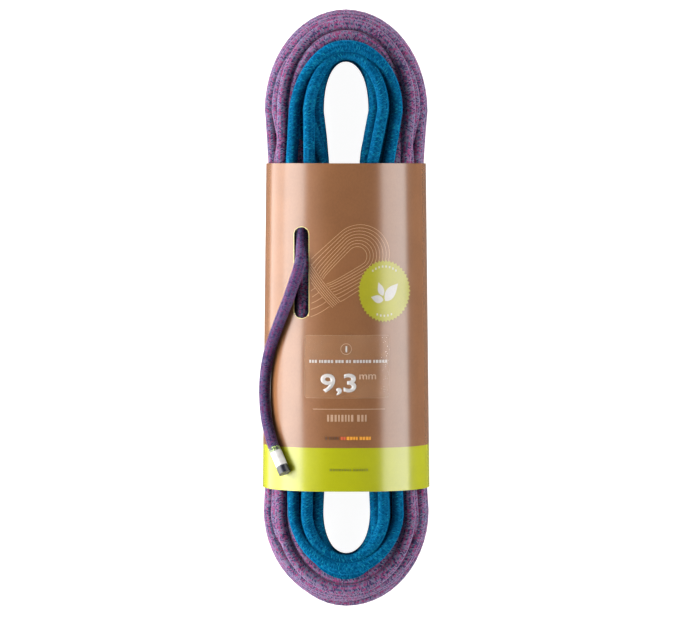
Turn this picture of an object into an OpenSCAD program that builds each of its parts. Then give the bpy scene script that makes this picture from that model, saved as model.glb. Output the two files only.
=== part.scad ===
// Dynamic climbing rope, wound into a long hank and held by a wrap-around card sleeve.
// The hank lies on its back: +Z is the printed front, +Y the upper loops, +X the right-hand side.
// The origin is under the middle of the hank, on the sleeve's flat underside.

/* [Rope] */
// Diameter of the rope
rope_d = 9.3; // [9:0.1:9.4]
// Distance from the hank's middle to the tip of each outer loop
hank_tip = 249.4; // [248:0.2:252]
// Distance from the hank's middle to the tip of the open eye inside each loop
eye_tip = 206; // [204:0.5:208]
// Part of the bundle's width that the inner, blue half of the rope takes
colour_split = 0.545; // [0.5:0.005:0.6]

/* [Sleeve] */
// Height of the sleeve's upper edge above the hank's middle
sleeve_top = 121; // [120:0.5:122]
// Distance of the sleeve's lower edge below the hank's middle
sleeve_bottom = 149; // [148:0.5:150]
// Half of the sleeve's width at its upper edge
sleeve_half_top = 66.7; // [66.7:0.1:67.5]
// Half of the sleeve's width at its lower edge
sleeve_half_bottom = 69.9; // [69.9:0.1:70.5]
// Height of the sleeve's crown above the surface it lies on
sleeve_h = 126; // [126:0.5:128]
// Thickness of the card
card_t = 0.5; // [0.4:0.05:0.5]
// Width of the tail slot
slot_w = 12; // [12:0.1:12.6]
// Length of the tail slot, over its round ends
slot_len = 75; // [74:0.5:78]

/* [Stickers] */
// Width of the size label
label_w = 70; // [60:1:72]
// Height of the size label
label_h = 52; // [44:1:54]
// Radius of the round seal
seal_r = 25.7; // [20:0.1:26]

/* [Rope ends] */
// Length of the printed marker band
band_len = 4; // [3.5:0.1:4.2]
// Length of the white label round each rope end
end_label_len = 13.3; // [12.8:0.1:13.5]
// Length of the dark shrink cap on each rope end
cap_len = 6.6; // [6:0.1:7]

/* [Hidden] */

purple = [0.42, 0.24, 0.42];
blue = [0.02, 0.36, 0.52];
kraft = [0.70, 0.52, 0.36];
lime = [0.76, 0.82, 0.14];
near_black = [0.08, 0.08, 0.11];
label_white = [0.92, 0.92, 0.90];

rope_r = rope_d / 2;
centre_z = sleeve_h / 2;
// The card's section is a superellipse, squarer below, where it lies flat.
crown_power = 2.4;
base_power = 3.2;
base_half_h = 68;
hank_gap = 0.7;
// How far the sleeve may slide either way from its middle place
slide = 8;
flap_t = 0.5;
glue_t = 0.1;
inside_floor = card_t + glue_t + flap_t + 0.3;
sticker_t = 0.12;

// Heights along the hank, with the half-width of its open middle and of its outer side there.
middle_half = [[-170, 19.8], [-158, 19.3], [-20, 14.8], [112, 12.7], [130, 13.2], [165, 19.2]];
outside_half = [[-170, 70.0], [-158, 68.6], [-20, 66.7], [112, 65.1], [130, 65.3], [165, 68.4]];
cap_start_top = 165;
cap_start_bottom = -170;
cap_steps = 20;
side_steps = 14;
// The open eye's end is blunter than an ellipse by this much.
eye_bluntness = 0.4;

// Half-width of the hank at height y for a level w across the bundle, 0 inside and 1 outside
function table_half(y, w) = (1 - w) * lookup(y, middle_half) + w * lookup(y, outside_half);
function smooth_half(y, w) =
    (table_half(y - 10, w) + table_half(y - 5, w) + table_half(y, w)
    + table_half(y + 5, w) + table_half(y + 10, w)) / 5;

// A point of an end cap, at angle a from 0 (right) to 180 (left); side is 1 at the top loops
function cap_point(w, a, side) =
    let (start = side > 0 ? cap_start_top : cap_start_bottom,
         half = smooth_half(start, w),
         reach = (1 - w) * eye_tip + w * hank_tip - abs(start),
         power = 2 / (2 + eye_bluntness * (1 - w)),
         across = sign(cos(a)) * pow(abs(cos(a)), power),
         along = pow(abs(sin(a)), power))
    [half * across, start + side * reach * along];

// One turn's closed outline, counter-clockwise from the right end of the top cap
function loop_outline(w) = concat(
    [for (i = [0:cap_steps]) cap_point(w, 180 * i / cap_steps, 1)],
    [for (i = [1:side_steps - 1])
        let (y = cap_start_top + (cap_start_bottom - cap_start_top) * i / side_steps)
        [-smooth_half(y, w), y]],
    [for (i = [0:cap_steps]) cap_point(w, 180 - 180 * i / cap_steps, -1)],
    [for (i = [1:side_steps - 1])
        let (y = cap_start_bottom + (cap_start_top - cap_start_bottom) * i / side_steps)
        [smooth_half(y, w), y]]);

// The sleeve's half-width at height y
function sleeve_half(y) =
    sleeve_half_top + (sleeve_half_bottom - sleeve_half_top) * (sleeve_top - y)
    / (sleeve_top + sleeve_bottom);

// Height of a superellipse of half-width 1 and half-height 1 at a fraction q of its half-width
function crown(q, power) = pow(max(0, 1 - pow(min(1, abs(q)), power)), 1 / power);

// Largest fraction of the free half-width that level w reaches anywhere on the sleeve's travel
function reach_in_sleeve(w) =
    let (free = card_t + hank_gap)
    max(table_half(sleeve_top + slide, w) / (sleeve_half(sleeve_top) - free),
        table_half(-sleeve_bottom - slide, w) / (sleeve_half(-sleeve_bottom) - free));

// The bundle's inner side is rounded over this part of its width.
round_w = 0.2;
round_share = 0.28;
function rounding(w) =
    1 - round_share + round_share * sqrt(1 - pow(1 - min(1, w / round_w), 2));

function front_z(w) =
    centre_z + (centre_z - card_t - hank_gap) * rounding(w)
    * crown(reach_in_sleeve(w), crown_power);
function back_z(w) =
    max(inside_floor, centre_z - (base_half_h - card_t - hank_gap) * rounding(w)
    * crown(reach_in_sleeve(w), base_power));

// Beyond the sleeve the loops settle onto the surface that the hank lies on.
settle_from = 170;
settle_to = 215;
function settle(y) =
    let (t = min(1, max(0, (abs(y) - settle_from) / (settle_to - settle_from))))
    inside_floor * t * t * (3 - 2 * t);

section_steps = 7;
function level(w_from, w_to, i) = w_from + (w_to - w_from) * i / section_steps;

// Section of a part of the bundle, as [level, height] points from its inner front round to its back
function bundle_section(w_from, w_to) = concat(
    [for (i = [0:section_steps]) let (w = level(w_from, w_to, i)) [w, front_z(w)]],
    [for (i = [0:section_steps]) let (w = level(w_to, w_from, i)) [w, back_z(w)]]);

// Triangles that join rows of points into a skin; row and column counts wrap round when closed
function skin(rows, columns, close_rows) = [
    for (r = [0:rows - (close_rows ? 1 : 2)]) for (c = [0:columns - 1])
        let (r2 = (r + 1) % rows, c2 = (c + 1) % columns)
        for (t = [[r * columns + c, r * columns + c2, r2 * columns + c2],
                  [r * columns + c, r2 * columns + c2, r2 * columns + c]]) t];

// The closed outer shape of the turns between two levels of the bundle
module turns(w_from, w_to) {
    section = bundle_section(w_from, w_to);
    outlines = [for (s = section) loop_outline(s[0])];
    stations = len(outlines[0]);
    points = [for (k = [0:stations - 1]) for (m = [0:len(section) - 1])
        let (p = outlines[m][k]) [p[0], p[1], section[m][1] - settle(p[1])]];
    polyhedron(points = points, faces = skin(stations, len(section), true), convexity = 8);
}

module outer_turns() {
    color(purple) turns(colour_split, 1);
}

module inner_turns() {
    color(blue) turns(0, colour_split);
}

// Route of the purple tail: under the card, up through the slot, over the left shoulder and down
outer_route = [
    [-42.5, 112, 105], [-39.8, 96, 108.4], [-37.5, 82, 110.7], [-36.7, 70, 111.8],
    [-36.7, 62, 112.3], [-36.7, 55, 114.3], [-36.8, 48, 117.9], [-37.6, 41, 121.2],
    [-39.2, 34, 122.9], [-41.4, 27, 122.6], [-44.5, 18, 121.2], [-48, 8, 119],
    [-52, -2, 116.1], [-56.2, -13, 112.4], [-60.5, -25, 107.7], [-64, -37, 103],
    [-66.4, -50, 99.2], [-67.6, -64, 97.3], [-67.3, -77, 98], [-66, -90, 100.7],
    [-63.3, -102, 105.3]
];
outer_end_start = [-59.5, -113.7, 110.6];
outer_end_heading = [9.2, -20.5, 8.2];

// Route of the blue tail: off the innermost turn into the hank's open middle, and along its floor
inner_route = [
    [17.4, 92, 6.2], [15.5, 80, 6.2], [12, 66, 6.2], [8, 52, 6.2], [4.2, 38, 6.2],
    [1.5, 24, 6.2], [0, 8, 6.2], [-0.6, -10, 6.2], [-0.4, -28, 6.2], [0, -44, 6.2]
];
inner_end_start = [0, -50, 6.2];
inner_end_heading = [0, -1, 0];

function unit(v) = v / norm(v);

// Direction of a route at point i, from the point before to the point after
function heading(route, i) =
    unit(route[min(i + 1, len(route) - 1)] - route[max(i - 1, 0)]);

tube_sides = 10;
// A ring of points round point i of a route
function ring(route, i, r) =
    let (ahead = heading(route, i), across = unit(cross(ahead, [0, 0, 1])), up = cross(across, ahead))
    [for (k = [0:tube_sides - 1])
        let (a = 360 * k / tube_sides) route[i] + r * (across * cos(a) + up * sin(a))];

module tube(route, r) {
    rings = len(route);
    points = [for (i = [0:rings - 1]) for (p = ring(route, i, r)) p];
    start_face = [for (k = [0:tube_sides - 1]) tube_sides - 1 - k];
    end_face = [for (k = [0:tube_sides - 1]) (rings - 1) * tube_sides + k];
    polyhedron(points = points, faces = concat(skin(rings, tube_sides, false),
        [start_face], [end_face]), convexity = 6);
}

core_t = 1.5;
label_s = band_len;
cap_s = band_len + end_label_len;
core_s = cap_s + cap_len - core_t;

// The rope of a tail, which runs on inside the wrappings as far as the fused core
module tail(route, start, heading) {
    tube(concat(route, [start, start + unit(heading) * core_s]), rope_r);
}

// Places its children at distance s from start along a heading, with +Z turned to that heading
module along(start, heading, s) {
    d = unit(heading);
    translate(start + d * s) rotate([0, acos(d[2]), atan2(d[1], d[0])]) children();
}

wrap_gap = 0.01;
module wrapping(length, thickness) {
    difference() {
        cylinder(h = length, r = rope_r + thickness, $fn = 48);
        translate([0, 0, -1]) cylinder(h = length + 2, r = rope_r + wrap_gap, $fn = 48);
    }
}

band_t = 0.12;
end_label_t = 0.2;
cap_t = 0.35;
module marker_band() wrapping(band_len, band_t);
module end_label() wrapping(end_label_len, end_label_t);
module end_cap() wrapping(cap_len, cap_t);
module core_end() cylinder(h = core_t, r = rope_r - 0.1, $fn = 48);

module outer_tail() {
    color(purple) tail(outer_route, outer_end_start, outer_end_heading);
}

module outer_marker_band() {
    color(lime) along(outer_end_start, outer_end_heading, 0) marker_band();
}

module outer_end_label() {
    color(label_white) along(outer_end_start, outer_end_heading, label_s) end_label();
}

module outer_end_cap() {
    color(near_black) along(outer_end_start, outer_end_heading, cap_s) end_cap();
}

module outer_core_end() {
    color(label_white) along(outer_end_start, outer_end_heading, core_s) core_end();
}

module inner_tail() {
    color(blue) tail(inner_route, inner_end_start, inner_end_heading);
}

module inner_marker_band() {
    color(lime) along(inner_end_start, inner_end_heading, 0) marker_band();
}

module inner_end_label() {
    color(label_white) along(inner_end_start, inner_end_heading, label_s) end_label();
}

module inner_end_cap() {
    color(near_black) along(inner_end_start, inner_end_heading, cap_s) end_cap();
}

module inner_core_end() {
    color(label_white) along(inner_end_start, inner_end_heading, core_s) core_end();
}

label_x = 0.8;
label_y = -46;
seal_x = 31.5;
seal_y = 16;
// The seal is cut out of a square of this half-width.
seal_reach = seal_r + 1;
// Its half-width seen from the front, where the card slopes away under it
seal_half_w = 0.84 * seal_r;
seal_sides = 64;

sleeve_sides = 64;
// Section of the card at height y, inset by a distance, as a ring of points
function card_ring(y, inset) = [
    for (k = [0:sleeve_sides - 1])
        let (a = 360 * k / sleeve_sides,
             power = sin(a) >= 0 ? crown_power : base_power,
             half_h = sin(a) >= 0 ? centre_z : base_half_h,
             across = sign(cos(a)) * pow(abs(cos(a)), 2 / power),
             high = sign(sin(a)) * pow(abs(sin(a)), 2 / power))
        [(sleeve_half(y) - inset) * across, y, max(inset, centre_z + (half_h - inset) * high)]];

// The outer skin is split at the stickers' edges, so that each sticker lies flat on its facets.
outer_rows = [
    sleeve_top, seal_y + seal_reach, seal_y - seal_reach,
    label_y + label_h / 2, label_y - label_h / 2, -sleeve_bottom
];

// The card wrap: outer skin down, inner skin back up, joined at both edges
module card_tube() {
    rings = concat([for (y = outer_rows) card_ring(y, 0)],
        [card_ring(-sleeve_bottom, card_t), card_ring(sleeve_top, card_t)]);
    points = [for (r = rings) for (p = r) p];
    polyhedron(points = points, faces = skin(len(rings), sleeve_sides, true), convexity = 4);
}

slot_x = -36.7;
slot_y = 31.1;
// A stadium-shaped cutter that passes through the front of the card only
module slot_cutter() {
    straight = slot_len - slot_w;
    translate([slot_x, slot_y, centre_z]) linear_extrude(height = sleeve_h) {
        for (side = [-1, 1]) translate([0, side * straight / 2]) circle(d = slot_w, $fn = 48);
        square([slot_w, straight], center = true);
    }
}

module sleeve() {
    color(kraft) difference() {
        card_tube();
        slot_cutter();
    }
}

flap_x = 18;
flap_w = 20;
flap_margin = 1;
glue_w = 8;
// A strip along the inside of the sleeve's flat underside
module floor_strip(width, z, thickness) {
    length = sleeve_top + sleeve_bottom - 2 * flap_margin;
    translate([flap_x - width / 2, -sleeve_bottom + flap_margin, z])
        cube([width, length, thickness]);
}

module glue_strip() {
    color("ivory") floor_strip(glue_w, card_t, glue_t);
}

module glue_flap() {
    color(kraft) floor_strip(flap_w, card_t + glue_t, flap_t);
}

// The card's front, left to right: fraction of the half-width, height over the middle
front_profile = [for (k = [sleeve_sides / 2:-1:0])
    let (a = 360 * k / sleeve_sides)
    [sign(cos(a)) * pow(abs(cos(a)), 2 / crown_power), centre_z * pow(sin(a), 2 / crown_power)]];
glue_film = 0.01;

// Corners of a sticker's section at a fraction q of the half-width, upper face first
function sheet_ring(q, y0, y1) =
    let (z = centre_z + lookup(q, front_profile) + glue_film)
    [for (c = [[y1, sticker_t], [y0, sticker_t], [y0, 0], [y1, 0]])
        [sleeve_half(c[0]) * q, c[0], z + c[1]]];

// A thin sheet that lies on the facets of the card's front between two fractions and two heights
module card_sheet(q0, q1, y0, y1) {
    inner = [for (p = front_profile) if (p[0] > q0 && p[0] < q1) p[0]];
    rings = [for (q = concat([q0], inner, [q1])) sheet_ring(q, y0, y1)];
    last = 4 * (len(rings) - 1);
    points = [for (r = rings) for (p = r) p];
    sides = [for (f = skin(len(rings), 4, false)) [f[2], f[1], f[0]]];
    polyhedron(points = points, faces = concat(sides, [[0, 1, 2, 3]],
        [[last + 3, last + 2, last + 1, last]]), convexity = 4);
}

module size_label() {
    half = sleeve_half(label_y);
    color(kraft) card_sheet((label_x - label_w / 2) / half, (label_x + label_w / 2) / half,
        label_y - label_h / 2, label_y + label_h / 2);
}

module seal_sticker() {
    half = sleeve_half(seal_y + seal_reach);
    color(lime) intersection() {
        card_sheet((seal_x - seal_reach) / half, (seal_x + seal_reach) / half,
            seal_y - seal_reach, seal_y + seal_reach);
        translate([seal_x, seal_y, 0]) linear_extrude(sleeve_h + 2)
            polygon([for (a = [0:360 / seal_sides:359]) [seal_half_w * cos(a), seal_r * sin(a)]]);
    }
}

outer_turns();
inner_turns();
outer_tail();
outer_marker_band();
outer_end_label();
outer_end_cap();
outer_core_end();
inner_tail();
inner_marker_band();
inner_end_label();
inner_end_cap();
inner_core_end();
sleeve();
glue_strip();
glue_flap();
size_label();
seal_sticker();
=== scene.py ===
"""Looks of a dynamic climbing rope: a two-coloured hank in a wrap-around card sleeve."""

import math
import random

import bmesh
import bpy
import numpy as np
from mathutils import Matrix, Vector


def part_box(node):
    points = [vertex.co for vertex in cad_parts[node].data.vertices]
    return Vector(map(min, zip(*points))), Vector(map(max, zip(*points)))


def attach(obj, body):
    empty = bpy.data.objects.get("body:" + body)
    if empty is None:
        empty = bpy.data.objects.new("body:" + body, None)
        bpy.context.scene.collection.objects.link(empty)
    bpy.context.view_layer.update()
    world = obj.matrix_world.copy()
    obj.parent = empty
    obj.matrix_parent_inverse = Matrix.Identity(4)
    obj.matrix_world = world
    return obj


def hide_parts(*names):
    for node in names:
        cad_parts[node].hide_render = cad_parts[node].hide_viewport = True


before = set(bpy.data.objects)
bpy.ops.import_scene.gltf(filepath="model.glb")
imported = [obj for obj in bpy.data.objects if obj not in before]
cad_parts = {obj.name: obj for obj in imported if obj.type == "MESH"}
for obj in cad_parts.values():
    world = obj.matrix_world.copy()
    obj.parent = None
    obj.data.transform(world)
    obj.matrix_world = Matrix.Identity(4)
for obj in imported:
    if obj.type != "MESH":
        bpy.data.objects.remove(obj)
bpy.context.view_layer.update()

MM = 0.001


def mm(values):
    """Millimetres to metres, for a number, a point or a list of points."""
    return np.asarray(values, dtype=float) * MM


def smooth(t):
    """0 to 1 with a level start and end."""
    t = np.clip(t, 0.0, 1.0)
    return t * t * (3.0 - 2.0 * t)


def bell(value, middle, reach):
    return np.exp(-((value - middle) / reach) ** 2)


# ---------------------------------------------------------------- sizes, in millimetres
ROPE_D = 9.3
ROPE_R = ROPE_D / 2
sleeve_low, sleeve_high = (np.array(c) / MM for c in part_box("sleeve"))
SLEEVE_TOP, SLEEVE_BOTTOM = sleeve_high[1], sleeve_low[1]
CENTRE_Z = sleeve_high[2] / 2
SLEEVE_HALF_TOP, SLEEVE_HALF_BOTTOM = 66.7, sleeve_high[0]
CARD_T = 0.5
CROWN_POWER, BASE_POWER = 2.4, 3.2
BASE_HALF_H = 68.0
INSIDE_FLOOR = 1.4


def sleeve_half(y):
    """The sleeve's half-width at height y."""
    share = (SLEEVE_TOP - y) / (SLEEVE_TOP - SLEEVE_BOTTOM)
    return SLEEVE_HALF_TOP + (SLEEVE_HALF_BOTTOM - SLEEVE_HALF_TOP) * share


def crown(q, power=CROWN_POWER):
    """Height of a superellipse of half-width 1 and half-height 1 at a fraction q of its half-width."""
    return (1.0 - np.minimum(1.0, np.abs(q)) ** power) ** (1.0 / power)


def card_z(x, y):
    """Height of the card's outer face."""
    return CENTRE_Z + CENTRE_Z * crown(x / sleeve_half(y))


# ---------------------------------------------------------------- camera
LENS, SENSOR, FARTHEST_SEEN = 199.0, 36.0, 20.0
CAMERA_PLACE, CAMERA_TILT = (0.0016, 0.121, 3.282), -2.333


def add_camera():
    """A long lens straight above the hank, level with the sleeve's upper edge."""
    data = bpy.data.cameras.new("camera")
    data.lens = LENS
    data.sensor_width = SENSOR
    data.clip_end = FARTHEST_SEEN
    camera = bpy.data.objects.new("camera", data)
    camera.location = CAMERA_PLACE
    camera.rotation_euler = (math.radians(CAMERA_TILT), 0.0, 0.0)
    bpy.context.scene.collection.objects.link(camera)
    bpy.context.scene.camera = camera


# ---------------------------------------------------------------- the hank's turns
# Heights where the straight sides end and the caps begin, reach of the hank and of its eyes from the
# middle, and how blunt the upper eye is
CAP_TOP, CAP_BOTTOM = 165.0, -170.0
HANK_TIP_TOP, HANK_TIP_BOTTOM, EYE_TIP, EYE_BLUNTNESS = 248.7, 249.4, 206.0, 0.15
# Half-widths (height, half-width) of the open middle's face and of the outside
MIDDLE_HALF = [(-170, 19.8), (-158, 19.3), (-20, 14.8), (112, 12.7), (130, 13.2), (165, 19.2)]
OUTSIDE_HALF = [(-170, 70.0), (-158, 68.1), (-20, 66.7), (112, 65.1), (130, 65.3), (165, 68.4)]


def half_at(y):
    """Half-widths of levels 0 and 1, the bundle's inner and outer faces, at height y."""
    steps = (-10, -5, 0, 5, 10)
    return [sum(np.interp(y + s, *zip(*halves)) for s in steps) / len(steps)
            for halves in (MIDDLE_HALF, OUTSIDE_HALF)]


def tip_at(side):
    """Reach of levels 0 and 1 at the upper tip (side 1) or the lower one (side -1)."""
    return EYE_TIP, HANK_TIP_TOP if side > 0 else HANK_TIP_BOTTOM


def loop_point(u, w):
    """Place on a turn of level w. u runs 0-1 up the right side, 1-2 over the top, 2-3 down the left
    side and 3-4 round the bottom."""
    leg, t = int(u % 4), u % 1.0
    if leg in (0, 2):
        up = t if leg == 0 else 1 - t
        y = CAP_BOTTOM + (CAP_TOP - CAP_BOTTOM) * up
        middle, outside = half_at(y)
        return (1 if leg == 0 else -1) * (middle + w * (outside - middle)), y
    start, side = (CAP_TOP, 1) if leg == 1 else (CAP_BOTTOM, -1)
    middle, outside = half_at(start)
    eye, hank = tip_at(side)
    angle = math.pi * t
    reach = eye + w * (hank - eye) - abs(start)
    power = 2 / (2 + EYE_BLUNTNESS * (1 - w) * (1 if side > 0 else 0))
    across = math.copysign(abs(math.cos(angle)) ** power, math.cos(angle))
    along = abs(math.sin(angle)) ** power
    return side * (middle + w * (outside - middle)) * across, start + side * reach * along


# Columns of turns from the open middle outwards: level across the bundle and how many turns.
COLUMNS = [(0.10, 14), (0.28, 14), (0.485, 14), (0.69, 12), (0.885, 7)]
TOPS = [count - 1 for _, count in COLUMNS]


def winding_order():
    """Columns and rows in the order that the rope fills them, from the open middle outwards."""
    rows = [range(top + 1) for top in TOPS]
    order = [(0, k) for k in rows[0]] + [(1, TOPS[1]), (2, TOPS[2])]
    order += [(1, k) for k in reversed(rows[1][:-1])] + [(2, k) for k in rows[2][:-2]]
    order += [(3, k) for k in reversed(rows[3])] + [(4, k) for k in rows[4]]
    return order + [(2, TOPS[2] - 1)]


def side_u(y, leg):
    """u of height y on the right side (leg 0) or the left one (leg 2)."""
    share = (y - CAP_BOTTOM) / (CAP_TOP - CAP_BOTTOM)
    return leg + (share if leg == 0 else 1 - share)


# Sections across the bundle where the turns are packed, in the order that a turn passes them: u, the
# height Y or the tip, the lowest level there, and how much higher it is for the undermost turns.
STATIONS = [
    (side_u(SLEEVE_TOP, 0), SLEEVE_TOP, 0.06, 0.0), (1.0, CAP_TOP, 0.10, 0.0),
    (1.5, "top", 0.138, 0.0), (2.0, CAP_TOP, 0.10, 0.0),
    (side_u(SLEEVE_TOP, 2), SLEEVE_TOP, 0.12, 0.0), (side_u(0, 2), 0.0, 0.04, 0.0),
    (side_u(SLEEVE_BOTTOM, 2), SLEEVE_BOTTOM, 0.08, 0.0), (3.5, "bottom", 0.067, 0.19),
    (4 + side_u(SLEEVE_BOTTOM, 0), SLEEVE_BOTTOM, 0.10, 0.0)]
# Levels of the turns that show in front at those sections, and their depths under the front
SHOWN = {
    (0, TOPS[0]): ((0.06, 14), (0.10, 14), (0.145, 16), (0.10, 13), (0.13, 12), (0.04, 9),
                   (0.08, 13), (0.08, 16), (0.10, 15)),
    (1, TOPS[1] - 1): (None, None, (0.25, 10.5), None, (0.46, 19), None, None, (0.19, 11), None),
    (1, TOPS[1]): ((0.17, 0), (0.24, 0), (0.112, 6.5), (0.24, 0), (0.33, 0), (0.21, 0), (0.265, 0),
                   (0.03, 6.5), (0.24, 0)),
    (2, TOPS[2]): ((0.42, 0), (0.47, 0), (0.266, 0), (0.48, 0), (0.61, 0), (0.64, 0), (0.506, 0),
                   (0.183, 0), (0.476, 0)),
    (2, TOPS[2] - 1): ((0.54, 6), None, (0.47, 7), (0.53, 9), (0.61, 9), None, None, None, None),
    (2, TOPS[2] - 2): (None, None, None, None, None, (0.41, 1), (0.50, 9), (0.40, 8), (0.55, 9)),
    (3, TOPS[3]): ((0.68, 0), (0.69, 0), (0.695, 0), (0.68, 0), (0.77, 0), (0.79, 0), (0.71, 0),
                   (0.60, 0), (0.67, 0)),
    (4, TOPS[4]): ((0.87, 0), (0.87, 0), (0.765, 4), (0.89, 0), (0.90, 0), (0.90, 0), (0.89, 0),
                   (0.675, 5.5), (0.86, 0)),
    (4, TOPS[4] - 1): (None, None, (0.835, 6.2), None, None, None, None, (0.74, 10), None),
    (4, TOPS[4] - 2): (None, None, (0.877, 8.8), None, None, None, None, (0.79, 15), None),
}
# Heights, from and to, between which a turn moves to its next place on the right, inside the sleeve
SHIFTS = {(0, TOPS[0]): (20, 121), (1, TOPS[1]): (20, 121), (2, TOPS[2]): (-149, -20),
          (2, TOPS[2] - 2): (45, 121), (4, TOPS[4]): (-45, 45)}
SHIFTS.update({(3, k): (-149, -45) for k in range(TOPS[3] + 1)})
# Where the rest of the turns do so
USUAL_SHIFT = (-110, 100)
# More places of shown turns on the left: height Y, level and height
EXTRA_KNOTS = {(1, TOPS[1]): ((82, 0.22, 110.0),),
               (2, TOPS[2] - 2): ((75, 0.375, 100.5), (48, 0.37, 106.5))}
# Room between rope and card, the least depth of a hidden turn under the front, how far hidden turns
# start from an even spread, their highest level, and the steps in which they are pushed apart
CARD_GAP, OVAL, COVER = 0.35, 1.03, 8.0
JITTER, HIGHEST_LEVEL, TURN_GAP = 1.2, 0.90, ROPE_D * 0.985
PACK_STEPS, PACK_PACE, PACK_SEED = 600, 0.8, 7
# The front's shape at the two tips, and how much fuller the hank is past the card
TIP_HALF, TIP_INNER, TIP_WIDTH = 66.5, 13.0, 52.0
PAST_CARD, FULLER = 150, 1.6
SHOULDER = 0.985


def section_limits(place):
    """Inner and outer faces of the bundle at a section, and functions of a turn's distance from the
    hank's middle that give its highest and lowest place there."""
    clear = CARD_T + ROPE_R * OVAL + CARD_GAP
    if isinstance(place, str):
        inner, outer = tip_at(1 if place == "top" else -1)
        half = TIP_HALF
        across = lambda r: (TIP_INNER + TIP_WIDTH * (r - inner) / (outer - inner)) / (half - clear)
    else:
        inner, outer = half_at(place)
        half = sleeve_half(np.clip(place, SLEEVE_BOTTOM, SLEEVE_TOP))
        half += FULLER if abs(place) > PAST_CARD else 0.0
        across = lambda r: r / (half - clear)
    high = lambda r: CENTRE_Z + (CENTRE_Z - clear) * crown(np.minimum(across(r), SHOULDER))
    low = lambda r: np.maximum(INSIDE_FLOOR + ROPE_R + 0.1, CENTRE_Z - (BASE_HALF_H - clear)
                               * crown(np.minimum(across(r), SHOULDER), BASE_POWER))
    return inner, outer, high, low


def pack_section(order, station, rng):
    """Levels and heights of all turns at one section, pushed apart until none lies in another."""
    _, place, lowest_level, push = STATIONS[station]
    inner, outer, high, low = section_limits(place)
    width = outer - inner
    r, z, nearest = np.zeros(len(order)), np.zeros(len(order)), np.zeros(len(order))
    held = np.zeros(len(order), dtype=bool)
    for n, (column, row) in enumerate(order):
        w, count = COLUMNS[column]
        pushed_out = push * (1 - row / (count - 1))
        w = pushed_out + (1 - pushed_out) * w
        nearest[n] = inner + (lowest_level + pushed_out) * width
        r[n] = inner + w * width
        z[n] = low(r[n]) + (high(r[n]) - low(r[n])) * row / (count - 1)
        r[n] += rng.uniform(-JITTER, JITTER)
        shown = SHOWN.get((column, row))
        if shown and shown[station]:
            held[n] = True
            r[n] = inner + shown[station][0] * width
            z[n] = high(r[n]) - shown[station][1]
    farthest = inner + HIGHEST_LEVEL * width
    give = np.where(held, 0.0, 1.0)
    share = give[:, None] / np.maximum(give[:, None] + give[None, :], 1.0)
    for _ in range(PACK_STEPS):
        dr, dz = r[:, None] - r[None, :], z[:, None] - z[None, :]
        apart = np.hypot(dr, dz) + np.eye(len(order)) * 1e6 + 1e-9
        push = np.maximum(0.0, TURN_GAP - apart) / apart * share
        r = r + (push * dr).sum(axis=1) * PACK_PACE
        z = z + (push * dz).sum(axis=1) * PACK_PACE
        r = np.where(held, r, np.clip(r, nearest, farthest))
        z = np.where(held, z, np.clip(z, low(r), high(r) - COVER))
    return (r - inner) / width, z


def turn_knots(n, order, sections):
    """Knots (u, level, height) of turn n, from the card's upper edge on the right round to its right
    side again, with the place where it has moved on to the next turn's site."""
    place = order[n]
    knots = [[4 * n + station[0], levels[n], heights[n]]
             for station, (levels, heights) in zip(STATIONS, sections)]
    for y, level, height in EXTRA_KNOTS.get(place, ()):
        knots.append([4 * n + side_u(y, 2), level, height])
    start, end = SHIFTS.get(place, USUAL_SHIFT)
    if start > SLEEVE_BOTTOM:
        knots.append([4 * n + 4 + side_u(start, 0), sections[-1][0][n], sections[-1][1][n]])
    if n + 1 < len(order) and end < SLEEVE_TOP:
        knots.append([4 * n + 4 + side_u(end, 0), sections[0][0][n + 1], sections[0][1][n + 1]])
    return sorted(knots)


def ease(stations, values, at):
    """Smooth curve through values that never overshoots them."""
    steps, rises = np.diff(stations), np.diff(values)
    slopes = rises / steps
    left, right = slopes[:-1], slopes[1:]
    same_way = left * right > 0
    middle = np.where(same_way, 2 * left * right / np.where(same_way, left + right, 1.0), 0.0)
    tangents = np.concatenate([[0.0], middle, [0.0]])
    i = np.clip(np.searchsorted(stations, at) - 1, 0, len(steps) - 1)
    h, t = steps[i], (at - stations[i]) / steps[i]
    return ((2 * t**3 - 3 * t**2 + 1) * values[i] + (t**3 - 2 * t**2 + t) * h * tangents[i]
            + (3 * t**2 - 2 * t**3) * values[i + 1] + (t**3 - t**2) * h * tangents[i + 1])


SIDE_STEPS, CAP_STEPS = 16, 28
ROPE_STARTS_AT, LAST_TURN_PART, SETTLE_REACH = 100, 2.1, 45


def hank_centreline():
    """Points of the whole wound rope, from the card's upper edge on the right of the first turn to
    the left of the last one."""
    order = winding_order()
    rng = random.Random(PACK_SEED)
    sections = [pack_section(order, station, rng) for station in range(len(STATIONS))]
    knots = np.array([k for n in range(len(order)) for k in turn_knots(n, order, sections)])
    cap = np.linspace(0, 1, CAP_STEPS + 1)[:-1]
    side = np.linspace(0, 1, SIDE_STEPS + 1)[:-1]
    one_turn = np.concatenate([side, 1 + cap, 2 + side, 3 + cap])
    us = np.concatenate([4 * n + one_turn for n in range(len(order))])
    us = us[(us > side_u(ROPE_STARTS_AT, 0)) & (us < 4 * (len(order) - 1) + LAST_TURN_PART)]
    levels = ease(knots[:, 0], knots[:, 1], us)
    heights = ease(knots[:, 0], knots[:, 2], us)
    points = []
    for u, w, z in zip(us, levels, heights):
        x, y = loop_point(u, w)
        settled = smooth((abs(y) - CAP_TOP) / SETTLE_REACH)
        points.append((x, y, z - INSIDE_FLOOR * settled))
    return np.array(points)


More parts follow.
